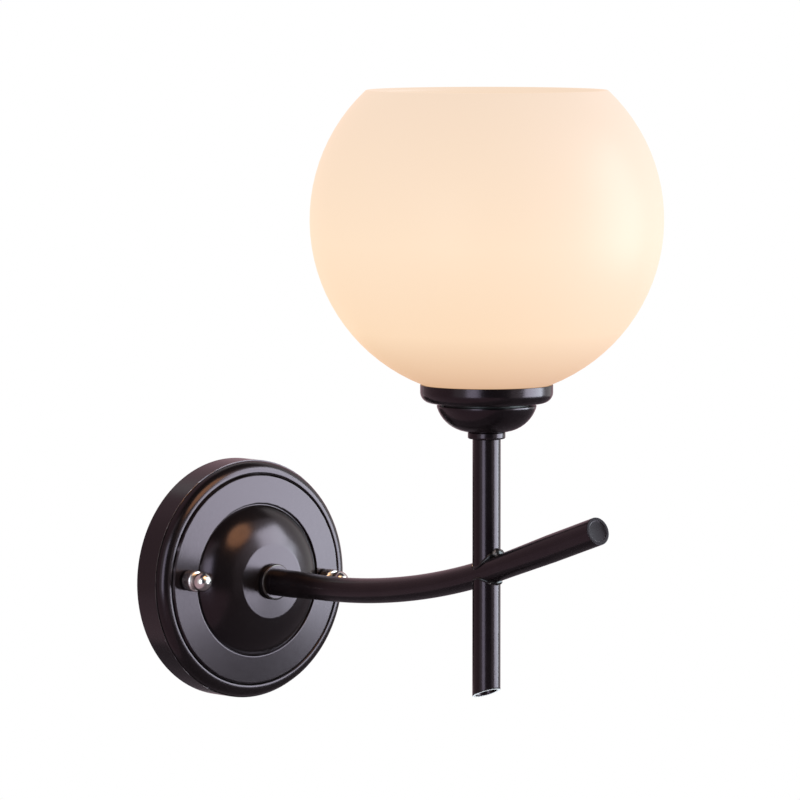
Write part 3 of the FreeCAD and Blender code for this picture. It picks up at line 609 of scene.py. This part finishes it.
def make_globe():
    """Opal glass ball, open above, with rounded lips at its mouth and its neck hole."""
    middle = globe_radius - glass / 2
    low = -math.degrees(math.acos((neck_hole_radius + glass / 2) / middle))
    high = math.degrees(math.acos((mouth_radius - glass / 2) / middle))
    centre = (0, globe_height)
    start = turned_point(centre, (globe_radius, globe_height), low)
    high_lip = turned_point(centre, (middle, globe_height), high)
    low_lip = turned_point(centre, (middle, globe_height), low)
    return turned("globe", start, [
        (*centre, high - low),
        (*high_lip, 180),
        (*centre, low - high),
        (*low_lip, 180),
    ], "stem", edge=0, fine=globe_arc_degrees)


# Leads

def lamp_lead_route(side):
    """Terminal block, a loop, nipple, arm, stem and lampholder terminal."""
    x = side * lead_spacing / 2
    pole = side * pole_pitch
    in_stem = -reach - lead_radius
    in_arm = []
    for share in lead_bend_stops:
        centre = arm_point(share * crossing_angle)[0] / mm
        in_arm.append((x, centre.y, centre.z))
    return [
        (pole, -pole_depth, lead_start),
        (pole, -pole_depth, loop_bottom),
        (pole, -loop_depth, loop_bottom),
        (x, -loop_depth, 0),
        *in_arm,
        (x, in_stem, crossing_height - lead_radius),
        (x, in_stem, cup_turn_height),
        (x, -reach, cup_exit_height),
        (side * terminal_side, -reach, terminal_height),
    ]


def earth_lead_route():
    """Middle pole, a loop below the block and the barrel of the tag."""
    return [
        (0, -pole_depth, lead_start),
        (0, -pole_depth, earth_loop_bottom),
        (earth_tag_side, -earth_tag_depth, earth_loop_bottom),
        (earth_tag_side, -earth_tag_depth, earth_tag_height),
    ]


def make_lead(name, route):
    """Insulated lead along one smooth line."""
    line = bpy.data.curves.new(name, "CURVE")
    line.dimensions = "3D"
    spline = line.splines.new("NURBS")
    spline.points.add(len(route) - 1)
    for point, place in zip(spline.points, route):
        point.co = (*(Vector(place) * mm), 1)
    spline.order_u = 3
    spline.use_endpoint_u = True
    spline.resolution_u = lead_steps
    line.bevel_depth = lead_radius * mm
    line.bevel_resolution = lead_roundness
    line.use_fill_caps = True
    piece = bpy.data.objects.new(name, line)
    bpy.context.scene.collection.objects.link(piece)
    return piece


# Materials

paint_black = (0.004, 0.003, 0.003)
paint_specular = 0.28
plate_specular = 0.035
# Colours of the lighter metallic edge bands: a painted highlight along the skirt's front edge, and
# the collar's lighter front rim
skirt_highlight_colour = (0.12, 0.1, 0.1)
collar_rim_colour = (0.06, 0.055, 0.05)
edge_band_core = 0.4
noise_low, noise_high = 0.3, 0.7
opal_drop = 2
plastic_shade = 0.85
plastic_unevenness = 0.06
bulb_glow = 0.7


def finish_named(name, colour, roughness, metallic=0.0, specular=0.5):
    """New material with its plain values on the shader's own sockets."""
    material = bpy.data.materials.new(name)
    material.use_nodes = True
    shader = material.node_tree.nodes["Principled BSDF"]
    shader.inputs["Base Color"].default_value = (*colour, 1)
    shader.inputs["Roughness"].default_value = roughness
    shader.inputs["Metallic"].default_value = metallic
    shader.inputs["Specular IOR Level"].default_value = specular
    return material


def add_node(material, kind, **settings):
    """Node of a kind, with its settings."""
    node = material.node_tree.nodes.new(kind)
    for setting, value in settings.items():
        setattr(node, setting, value)
    return node


def join_sockets(material, *pairs):
    """Links pairs of sockets."""
    for start, end in pairs:
        material.node_tree.links.new(start, end)


def noise(material, grain, detail=3.0, stretch=(1, 1, 1)):
    """Noise with grains of a size in millimetres, on the object's own coordinates."""
    place = add_node(material, "ShaderNodeTexCoord")
    mapping = add_node(material, "ShaderNodeMapping")
    mapping.inputs["Scale"].default_value = stretch
    pattern = add_node(material, "ShaderNodeTexNoise")
    pattern.inputs["Scale"].default_value = 1 / (grain * mm)
    pattern.inputs["Detail"].default_value = detail
    join_sockets(material, (place.outputs["Object"], mapping.inputs["Vector"]),
                 (mapping.outputs["Vector"], pattern.inputs["Vector"]))
    return pattern.outputs["Fac"]


def spread(material, value, low, high):
    """Brings a noise to a range."""
    node = add_node(material, "ShaderNodeMapRange")
    node.inputs["From Min"].default_value = noise_low
    node.inputs["From Max"].default_value = noise_high
    node.inputs["To Min"].default_value = low
    node.inputs["To Max"].default_value = high
    join_sockets(material, (value, node.inputs["Value"]))
    return node.outputs["Result"]


def two_tone(material, value, first, second):
    """Colour between two, as a pattern says."""
    node = add_node(material, "ShaderNodeMix", data_type="RGBA")
    node.inputs[6].default_value = (*first, 1)
    node.inputs[7].default_value = (*second, 1)
    join_sockets(material, (value, node.inputs[0]))
    return node.outputs[2]


def relief(material, value, height, strength=1.0):
    """Bump from a pattern, its height in millimetres."""
    node = add_node(material, "ShaderNodeBump")
    node.inputs["Distance"].default_value = height * mm
    node.inputs["Strength"].default_value = strength
    join_sockets(material, (value, node.inputs["Height"]))
    return node.outputs["Normal"]


def shader_of(material):
    """Sockets of a material's shader."""
    return material.node_tree.nodes["Principled BSDF"].inputs


def satin_black_paint(name="satin_black_paint", specular=paint_specular, lighter_edge=None):
    """Stoved black paint with a brown cast in its sheen and fine orange peel. A lighter edge is a
    band's radius, depth and width and the colour the band takes; on the skirt's front edge the
    band is a painted highlight."""
    material = finish_named(name, paint_black, 0.22, specular=specular)
    peel = noise(material, 0.7)
    cloud = noise(material, 14.0)
    shader = shader_of(material)
    shader["Specular Tint"].default_value = (1.0, 0.78, 0.9, 1)
    colour = two_tone(material, spread(material, cloud, 0, 1), (0.003, 0.002, 0.0022),
                      (0.0055, 0.0038, 0.004))
    # Lighter metallic band round an edge, a painted highlight on the skirt's front edge
    if lighter_edge:
        radius, depth, width, bare_metal_and_sheen = lighter_edge
        edge_mask = edge_band_mask(material, radius, depth, width)
        colour = two_tone(material, edge_mask, paint_black, bare_metal_and_sheen)
        join_sockets(material, (edge_mask, shader["Metallic"]))
    join_sockets(
        material,
        (colour, shader["Base Color"]),
        (spread(material, peel, 0.19, 0.25), shader["Roughness"]),
        (relief(material, peel, 0.004), shader["Normal"]))
    return material


def edge_band_mask(material, radius, depth, width):
    """Band round a turned edge, at a radius and a depth from the wall, turned lighter and metallic
    in patches; on the skirt's front edge it is a painted highlight.
    """
    place = add_node(material, "ShaderNodeTexCoord")
    split = add_node(material, "ShaderNodeSeparateXYZ")
    flat = add_node(material, "ShaderNodeCombineXYZ")
    length = add_node(material, "ShaderNodeVectorMath", operation="LENGTH")
    apart = add_node(material, "ShaderNodeCombineXYZ")
    from_edge = add_node(material, "ShaderNodeVectorMath", operation="DISTANCE")
    from_edge.inputs[1].default_value = (radius * mm, -depth * mm, 0)
    near = add_node(material, "ShaderNodeMapRange")
    near.inputs["From Min"].default_value = width * mm
    near.inputs["From Max"].default_value = edge_band_core * width * mm
    patchy = add_node(material, "ShaderNodeMath", operation="MULTIPLY")
    join_sockets(
        material,
        (place.outputs["Object"], split.inputs["Vector"]),
        (split.outputs["X"], flat.inputs["X"]),
        (split.outputs["Z"], flat.inputs["Z"]),
        (flat.outputs["Vector"], length.inputs[0]),
        (length.outputs["Value"], apart.inputs["X"]),
        (split.outputs["Y"], apart.inputs["Y"]),
        (apart.outputs["Vector"], from_edge.inputs[0]),
        (from_edge.outputs["Value"], near.inputs["Value"]),
        (near.outputs["Result"], patchy.inputs[0]),
        (spread(material, noise(material, 5.0), 0.1, 1.0), patchy.inputs[1]))
    return patchy.outputs["Value"]


def weld_metal():
    """Weld bead under the paint, bare on the tops of its lumps."""
    material = finish_named("painted_weld_metal", paint_black, 0.3, specular=paint_specular)
    lumps = noise(material, 2.2)
    bare_metal_and_sheen = spread(material, lumps, -1.7, 1.0)
    colour = two_tone(material, bare_metal_and_sheen, paint_black, (0.42, 0.36, 0.34))
    shader = shader_of(material)
    join_sockets(material, (colour, shader["Base Color"]), (bare_metal_and_sheen, shader["Metallic"]),
                 (spread(material, lumps, 0.2, 0.4), shader["Roughness"]),
                 (relief(material, lumps, 0.06), shader["Normal"]))
    return material


def bare_steel_painted_pale():
    """Fresh saw cut in steel tube, made pale and mostly diffuse: bare steel with a painted
    reflection of the white below it.
    """
    material = finish_named("bare_cut_steel_painted_pale", (0.86, 0.85, 0.84), 0.45, metallic=0.2)
    saw = noise(material, 0.5, stretch=(1, 1, 6))
    shader = shader_of(material)
    join_sockets(material, (spread(material, saw, 0.28, 0.5), shader["Roughness"]),
                 (relief(material, saw, 0.01), shader["Normal"]))
    return material


def opal_glass():
    """White opal glass with the bulb's light in it: brightest half way up, deeper at the neck."""
    material = finish_named("lit_opal_glass", (0.05, 0.048, 0.06), 0.4, specular=0.06)
    shader = shader_of(material)
    place = add_node(material, "ShaderNodeTexCoord")
    split = add_node(material, "ShaderNodeSeparateXYZ")
    height = add_node(material, "ShaderNodeMapRange")
    height.inputs["From Min"].default_value = (dish_rim - opal_drop) * mm
    height.inputs["From Max"].default_value = globe_top * mm
    ramp = add_node(material, "ShaderNodeValToRGB")
    stops = ramp.color_ramp.elements
    stops[0].position = 0.0
    stops[0].color = (0.67, 0.405, 0.23, 1)
    stops[1].position = 1.0
    stops[1].color = (0.885, 0.69, 0.52, 1)
    for position, colour in ((0.09, (0.803, 0.535, 0.322)), (0.2, (0.927, 0.674, 0.437)),
                             (0.5, (0.948, 0.728, 0.51))):
        stop = stops.new(position)
        stop.color = (*colour, 1)
    join_sockets(material, (place.outputs["Object"], split.inputs["Vector"]),
                 (split.outputs["Z"], height.inputs["Value"]),
                 (height.outputs["Result"], ramp.inputs["Fac"]),
                 (ramp.outputs["Color"], shader["Emission Color"]),
                 (relief(material, noise(material, 30.0, 1.0), 0.1), shader["Normal"]))
    shader["Emission Strength"].default_value = 1.0
    return material


def polished_chrome():
    """Nickel-chrome plate with faint rubbing marks."""
    material = finish_named("polished_chrome", (0.56, 0.53, 0.51), 0.2, metallic=1.0)
    marks = noise(material, 0.8, stretch=(1, 5, 1))
    shader = shader_of(material)
    join_sockets(material, (spread(material, marks, 0.16, 0.28), shader["Roughness"]),
                 (relief(material, marks, 0.004), shader["Normal"]))
    return material


def zinc_plate():
    """Galvanised steel with a faint grain."""
    material = finish_named("zinc_plate", (0.46, 0.47, 0.49), 0.38, metallic=1.0)
    grain = noise(material, 1.2)
    cloud = noise(material, 9.0)
    shader = shader_of(material)
    join_sockets(
        material,
        (two_tone(material, spread(material, cloud, 0, 1), (0.36, 0.37, 0.39),
                  (0.52, 0.53, 0.55)), shader["Base Color"]),
        (spread(material, grain, 0.3, 0.46), shader["Roughness"]),
        (relief(material, grain, 0.006), shader["Normal"]))
    return material


def plain_brass():
    """Stamped brass, a little tarnished."""
    material = finish_named("plain_brass", (0.62, 0.45, 0.2), 0.3, metallic=1.0)
    cloud = noise(material, 3.0)
    shader = shader_of(material)
    join_sockets(
        material,
        (two_tone(material, spread(material, cloud, 0, 1), (0.5, 0.35, 0.15),
                  (0.66, 0.49, 0.23)), shader["Base Color"]),
        (spread(material, cloud, 0.24, 0.4), shader["Roughness"]))
    return material


def moulded_plastic(name, colour, roughness=0.45):
    """Moulded plastic with fine texture."""
    material = finish_named(name, colour, roughness)
    grain = noise(material, 0.35)
    darker = tuple(plastic_shade * part for part in colour)
    shader = shader_of(material)
    join_sockets(
        material,
        (two_tone(material, spread(material, noise(material, 6.0), 0, 1), darker, colour),
         shader["Base Color"]),
        (spread(material, grain, roughness - plastic_unevenness, roughness + plastic_unevenness),
         shader["Roughness"]),
        (relief(material, grain, 0.006), shader["Normal"]))
    return material


def glazed_porcelain():
    """White glazed porcelain."""
    material = finish_named("glazed_porcelain", (0.78, 0.76, 0.71), 0.16)
    shader = shader_of(material)
    cloud = noise(material, 5.0)
    join_sockets(
        material,
        (two_tone(material, spread(material, cloud, 0, 1), (0.72, 0.7, 0.64),
                  (0.8, 0.78, 0.74)), shader["Base Color"]),
        (relief(material, cloud, 0.05), shader["Normal"]))
    return material


def lit_bulb_glass():
    """Frosted glass with the lamp's light behind it, a little cloudy."""
    material = finish_named("lit_bulb_glass", (0.3, 0.28, 0.25), 0.35)
    shader = shader_of(material)
    glow = noise(material, 12.0, 1.0)
    join_sockets(material, (two_tone(material, spread(material, glow, 0, 1), (1.0, 0.78, 0.55),
                                     (1.0, 0.84, 0.64)), shader["Emission Color"]))
    shader["Emission Strength"].default_value = bulb_glow
    return material


def dress(names, material):
    """Gives CAD nodes that stay a better material."""
    for name in names:
        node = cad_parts.get(name)
        node.data.materials.clear()
        node.data.materials.append(material)


def place_piece(piece, body, slot, material, *replaced):
    """Rides a finished piece on its body, in place of the nodes that it stands for."""
    piece.data.materials.clear()
    piece.data.materials.append(material)
    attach(piece, body)
    if replaced:
        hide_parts(*replaced)


def second_finish(piece, material, facing, least):
    """Gives a second material to the faces whose cosine with a direction is above a least one."""
    piece.data.materials.append(material)
    for face in piece.data.polygons:
        face.material_index = int(face.normal.dot(facing) > least)


# Making

paint = satin_black_paint()
# The skirt's front edge gets a lighter metallic band, a painted highlight for the thin bright line
# along it.
skirt_paint = satin_black_paint(
    "skirt_paint_with_painted_highlight",
    lighter_edge=(canopy_radius, skirt_depth, skirt_highlight_width, skirt_highlight_colour))
collar_paint = satin_black_paint(
    # The collar's front rim gets a lighter metallic band.
    "collar_paint_with_lighter_rim",
    lighter_edge=(collar_radius - collar_rim_inset, collar_front - collar_rim_depth,
          collar_rim_width, collar_rim_colour))
plate_paint = satin_black_paint("tip_plate_paint", specular=plate_specular)
cut_steel_painted_pale = bare_steel_painted_pale()
bead_metal = weld_metal()
opal = opal_glass()
chrome = polished_chrome()
zinc = zinc_plate()
brass = plain_brass()
black_plastic = moulded_plastic("black_moulded_plastic", (0.02, 0.019, 0.018))
block_plastic = moulded_plastic("pale_moulded_plastic", (0.72, 0.7, 0.64), 0.5)
brown_sleeve = moulded_plastic("brown_sleeve", (0.07, 0.03, 0.015), 0.45)
blue_sleeve = moulded_plastic("blue_sleeve", (0.02, 0.06, 0.22), 0.45)
green_yellow_sleeve = moulded_plastic("green_yellow_sleeve", (0.12, 0.26, 0.02), 0.45)
porcelain = glazed_porcelain()
bulb_glass = lit_bulb_glass()

place_piece(make_canopy(), "fixture", "black_paint", skirt_paint, "canopy")
place_piece(make_cap_nut("nut_left", -1), "cap_nut_left", "chrome", chrome, "cap_nut_left")
place_piece(make_cap_nut("nut_right", 1), "cap_nut_right", "chrome", chrome, "cap_nut_right")
arm = make_arm()
place_piece(arm, "fixture", "black_paint", paint, "arm_tube", "arm_end_plate")
second_finish(arm, plate_paint, arm_point(math.radians(arm_bend))[1], plate_facing)
place_piece(make_stem(), "fixture", "black_paint", paint, "stem_tube")
tail = make_tail()
place_piece(tail, "fixture", "black_paint", paint, "tail_tube")
# The tail's cut face is bare steel made pale, partly a painted reflection of the white below.
second_finish(tail, cut_steel_painted_pale, Vector((0, 0, -1)), cut_facing)
place_piece(make_collar("root_collar", "canopy", canopy_depth), "fixture", "worn_collar",
            collar_paint, "arm_collar")
place_piece(make_collar("upper_collar", "stem", stem_top), "fixture", "black_paint", paint,
            "stem_collar")
place_piece(make_weld("weld_above", 1, weld_above_thick, weld_above_thin, weld_lift),
            "fixture", "black_paint", bead_metal, "stem_weld")
place_piece(make_weld("weld_below", -1, weld_below_thick, weld_below_thin), "fixture",
            "black_paint", bead_metal, "tail_weld")
place_piece(make_bowl(), "fixture", "black_paint", paint, "cup_bowl")
place_piece(make_dish(), "fixture", "black_paint", paint, "gallery_dish")
place_piece(make_globe(), "fixture", "opal_glass", opal, "globe_glass")

leads = (
    ("live_lead", lamp_lead_route(1), lamp_lead_length, "brown_sleeve", brown_sleeve),
    ("neutral_lead", lamp_lead_route(-1), lamp_lead_length, "blue_sleeve", blue_sleeve),
    ("earth_lead", earth_lead_route(), earth_lead_length, "green_yellow_sleeve",
     green_yellow_sleeve))
for node, route, length, slot, sleeve in leads:
    wire = make_lead(node + "_wire", route)
    place_piece(wire, "fixture", slot, sleeve, node)

dress(("wall_strap", "canopy_studs", "stud_locknuts", "canopy_nipple", "canopy_locknut",
       "lock_washer", "cup_nipple"), zinc)
dress(("screw_shell", "centre_contact", "lampholder_terminals", "bulb_cap", "terminal_tubes",
       "terminal_screws", "block_fixing_screw", "earth_screw", "earth_tag", "bulb_contact"), brass)
dress(("lampholder_base", "lampholder_skirt", "shade_ring", "bulb_insulator"), black_plastic)
dress(("terminal_block",), block_plastic)
dress(("lampholder_insert",), porcelain)
dress(("bulb_envelope",), bulb_glass)


# Studio

def bearing(turn, rise):
    """Direction by its turn from straight ahead of the wall, to the right, and its rise."""
    turn, rise = math.radians(turn), math.radians(rise)
    return (math.sin(turn) * math.cos(rise), -math.cos(turn) * math.cos(rise), math.sin(rise))


def area_light(name, direction, distance, size, strength, colour=(1, 1, 1), aim=(0, -100, 60)):
    """Softbox whose face has a plain strength, where 1 looks white."""
    target = Vector(aim) * mm
    data = bpy.data.lights.new(name, "AREA")
    data.shape = "RECTANGLE"
    data.size, data.size_y = size
    data.color = colour
    data.energy = strength * math.pi * size[0] * size[1]
    light = bpy.data.objects.new(name, data)
    bpy.context.scene.collection.objects.link(light)
    away = Vector(direction).normalized()
    light.location = target + away * distance
    light.rotation_euler = away.to_track_quat("Z", "Y").to_euler()
    light.visible_camera = False
    return light


def card(name, direction, distance, size, colour, aim=(0, -100, 60)):
    """Studio card that only shows in what the paint and metal mirror."""
    bpy.ops.object.select_all(action="DESELECT")
    away = Vector(direction).normalized()
    bpy.ops.mesh.primitive_plane_add(size=1, location=Vector(aim) * mm + away * distance,
                                     rotation=away.to_track_quat("Z", "Y").to_euler())
    flag = named(name)
    flag.scale = (size[0], size[1], 1)
    bpy.ops.object.transform_apply(location=True, rotation=True, scale=True)
    material = finish_named(name, (0, 0, 0), 1.0, specular=0.0)
    shader_of(material)["Emission Color"].default_value = (*colour, 1)
    shader_of(material)["Emission Strength"].default_value = 1.0
    flag.data.materials.append(material)
    flag.visible_camera = False
    flag.visible_diffuse = False
    flag.visible_shadow = False


def pale_world(strength):
    """White behind the lamp and in what it mirrors; a plainer grey light on it."""
    world = bpy.data.worlds.new("pale_room")
    world.use_nodes = True
    bpy.context.scene.world = world
    nodes, links = world.node_tree.nodes, world.node_tree.links
    background = nodes["Background"]
    background.inputs["Color"].default_value = (1, 1, 1, 1)
    path = nodes.new("ShaderNodeLightPath")
    seen = nodes.new("ShaderNodeMath")
    seen.operation = "MAXIMUM"
    links.new(path.outputs["Is Camera Ray"], seen.inputs[0])
    through = nodes.new("ShaderNodeMath")
    through.operation = "MAXIMUM"
    links.new(path.outputs["Is Glossy Ray"], through.inputs[0])
    links.new(path.outputs["Is Transmission Ray"], through.inputs[1])
    links.new(through.outputs[0], seen.inputs[1])
    level = nodes.new("ShaderNodeMapRange")
    level.inputs["To Min"].default_value = strength
    level.inputs["To Max"].default_value = 1.0
    links.new(seen.outputs[0], level.inputs["Value"])
    links.new(level.outputs["Result"], background.inputs["Strength"])


def floor(height):
    """Pale floor under the lamp."""
    bpy.ops.object.select_all(action="DESELECT")
    bpy.ops.mesh.primitive_plane_add(size=floor_size, location=(0, floor_middle, height * mm))
    ground = named("floor")
    bpy.ops.object.transform_apply(location=True, rotation=True, scale=True)
    material = finish_named("pale_floor", (0.86, 0.86, 0.86), 0.7)
    ground.data.materials.append(material)


def camera():
    """Camera at the photograph's angle, with its long lens."""
    turn, tilt = math.radians(camera_turn), math.radians(camera_tilt)
    look = Vector((math.sin(turn) * math.cos(tilt), math.cos(turn) * math.cos(tilt),
                   -math.sin(tilt)))
    right = Vector((math.cos(turn), -math.sin(turn), 0))
    up = right.cross(look)
    data = bpy.data.cameras.new("camera")
    data.sensor_width = sensor_width
    data.lens = focal_pixels / photo_width * sensor_width
    data.clip_end = camera_reach
    eye = bpy.data.objects.new("camera", data)
    bpy.context.scene.collection.objects.link(eye)
    eye.location = (right * camera_right + up * camera_up - look * camera_back) * mm
    eye.rotation_euler = Matrix((right, up, -look)).transposed().to_euler()
    bpy.context.scene.camera = eye


pale_world(room_light)
floor(floor_height)
at_ring = (0, -20, 0)
area_light("softbox_right", bearing(45, 2), 1.3, (0.98, 0.6), 14.0, (0.78, 0.92, 1.0), at_ring)
area_light("softbox_above", bearing(45, 25.5), 1.3, (0.72, 0.45), 14.0, (0.8, 0.93, 1.0), at_ring)
area_light("strip_left", bearing(-60, 0), 1.3, (0.5, 1.3), 6.0, (0.74, 0.86, 1.0),
           aim=(0, -60, 20))
glow = area_light("glow_of_globe", (-0.06, -0.71, 0.7), 0.15, (0.085, 0.085), 5.0,
                  (1.0, 0.56, 0.24), aim=(0, -15, 6))
glow.data.shape = "ELLIPSE"
dark = (0.02, 0.02, 0.04)
brown = (0.5, 0.34, 0.38)
pale_brown = (0.6, 0.42, 0.48)
card("flag_front", bearing(-27, 0), 1.5, (1.6, 2.6), dark)
card("flag_above", bearing(20, 78), 0.9, (1.6, 0.9), dark)
card("flag_below", (0, 0, -1), 0.28, (1.7, 1.8), (0.16, 0.13, 0.15), aim=(700, -300, 0))
card("floor_left", (0, 0, -1), 0.27, (1.1, 2.4), pale_brown, aim=(-700, 0, 0))
card("wall_back_left", bearing(-140, 0), 1.4, (2.6, 2.6), brown)
card("wall_back_right", bearing(140, 10), 1.4, (2.0, 1.6), (0.6, 0.4, 0.45))
card("ceiling_left", bearing(-120, 60), 1.3, (2.0, 1.4), pale_brown)
camera()

bpy.context.scene.view_settings.view_transform = "Standard"
